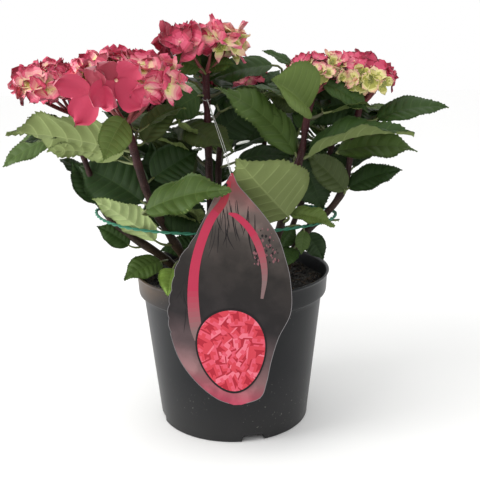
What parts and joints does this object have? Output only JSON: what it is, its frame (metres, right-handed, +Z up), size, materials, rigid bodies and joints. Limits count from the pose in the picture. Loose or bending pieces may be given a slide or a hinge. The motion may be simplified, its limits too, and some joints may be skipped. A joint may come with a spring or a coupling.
{
  "type": "potted hydrangea shrub",
  "caption": "Mophead hydrangea shrub in a round black nursery pot, with leafy woody stems, domed flower heads, a stem tie and a plain hanging card.",
  "frame": {"origin": "centre of the pot's flat underside, on the surface it stands on", "axes": "+Z up, -Y the front with the hanging card, +X the right-hand side seen from the front"},
  "size_m": [0.5005, 0.3387, 0.4632],
  "materials": {
    "pot": "moulded plastic with a dull sheen and light scuffs",
    "peat": "damp dark peat with crumbs and fibres",
    "stem": "semi-woody, maroon with pale lenticels, green-brown lower down",
    "leaves": "leaf surface, dark green above and pale sage below",
    "bloom": "soft matt petals, cream at the base and crimson at the rim",
    "card": "printed plastic card with a slight gloss",
    "tie": "thin green plastic tie",
    "thread": "clear plastic thread"
  },
  "bodies": {
    "root": {"pot": "pot", "peat": "peat", "stem_left_front": "stem", "stem_left": "stem", "stem_centre": "stem", "stem_centre_back": "stem", "stem_back_right": "stem", "stem_right_front": "stem", "stem_right": "stem", "stem_right_back": "stem", "stem_left_back": "stem", "head_far_left": "bloom", "head_left_front": "bloom", "head_top": "bloom", "head_centre_back": "bloom", "head_right_inner": "bloom", "head_right": "bloom", "head_right_back": "bloom", "head_left_back": "bloom", "leaves_far_left": "leaves", "leaves_left": "leaves", "leaves_left_low": "leaves", "leaves_pot_left": "leaves", "leaves_left_front": "leaves", "leaves_left_inner": "leaves", "leaves_front": "leaves", "leaves_centre_low": "leaves", "leaves_centre": "leaves", "leaves_centre_top": "leaves", "leaves_centre_right": "leaves", "leaves_big_pale": "leaves", "leaves_right_top": "leaves", "leaves_right": "leaves", "leaves_far_right": "leaves", "leaves_right_mid": "leaves", "leaves_right_low": "leaves", "leaves_back_left": "leaves", "leaves_back_left_low": "leaves", "leaves_back_centre": "leaves", "leaves_back_low": "leaves", "leaves_back_right": "leaves", "leaves_back_right_low": "leaves", "card": "card", "tie_loop": "tie", "card_thread": "thread"}
  },
  "joints": []
}
